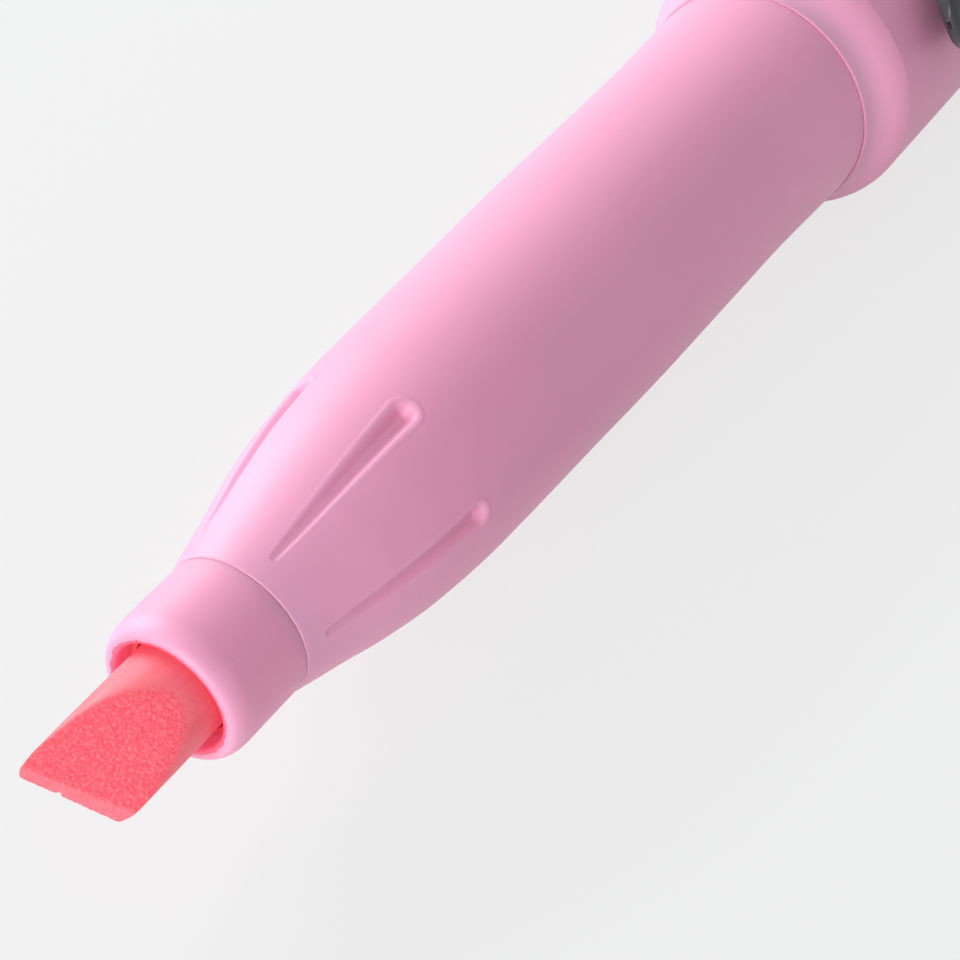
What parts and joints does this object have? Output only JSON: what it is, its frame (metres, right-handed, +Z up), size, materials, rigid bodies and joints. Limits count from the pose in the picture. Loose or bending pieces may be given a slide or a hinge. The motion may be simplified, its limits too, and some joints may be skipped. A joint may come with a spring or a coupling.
{
  "type": "retractable highlighter",
  "caption": "Push-button highlighter pen with a chisel felt nib, a flared and dimpled grip, a larger rear barrel, a pocket clip, a six-sided end collar and a sliding ink cartridge.",
  "frame": {"origin": "on the pen's axis, at the middle of the straight stretch of the grip", "axes": "+X along the axis from the nib to the push button, +Z up as the pen lies on a table, and the clip on the -Y side"},
  "size_m": [0.1365, 0.0172, 0.0142],
  "materials": {
    "pink_plastic": "smooth satin gloss",
    "seal_rubber": "soft, stained with ink",
    "white_plastic": "matt",
    "natural_plastic": "matt, milky",
    "cam_plastic": "matt",
    "grey_plastic": "satin",
    "ring_rubber": "matt",
    "spring_steel": "bright drawn wire",
    "nib_felt": "dense felt, soaked with ink",
    "ink_fibre": "bundled fibre, soaked with ink"
  },
  "bodies": {
    "barrel": {"nose_tip": "pink_plastic", "front_barrel": "pink_plastic", "slit_seal": "seal_rubber", "seal_ring": "white_plastic", "joint_o_ring": "ring_rubber", "return_spring": "spring_steel", "rear_barrel": "pink_plastic", "guide_sleeve": "natural_plastic", "end_collar": "pink_plastic"},
    "cartridge": {"nib": "nib_felt", "nib_holder": "white_plastic", "cartridge_o_ring": "ring_rubber", "reservoir_tube": "natural_plastic", "ink_core": "ink_fibre", "reservoir_plug": "white_plastic", "cam_rotor": "cam_plastic"},
    "button": {"plunger": "white_plastic", "knock_button": "grey_plastic", "button_disc": "pink_plastic"},
    "clip": {"clip": "grey_plastic"}
  },
  "joints": [
    {"name": "cartridge_slide", "type": "slide", "parent": "barrel", "child": "cartridge", "axis": [1, 0, 0], "range_m": [-0.0014, 0.0135], "deforming": ["return_spring", "slit_seal"]},
    {"name": "button_slide", "type": "slide", "parent": "barrel", "child": "button", "axis": [1, 0, 0], "range_m": [-0.0014, 0.0135]},
    {"name": "clip_flex", "type": "hinge", "parent": "barrel", "child": "clip", "pos_m": [0.062, -0.00572, 0.0033], "axis": [0, 0.5, 0.866], "range_deg": [0, 4.5], "stiffness_Nm_per_rad": 0.1}
  ],
  "couplings": [
    {"joint": "button_slide", "follows": "cartridge_slide", "ratio": 1}
  ]
}
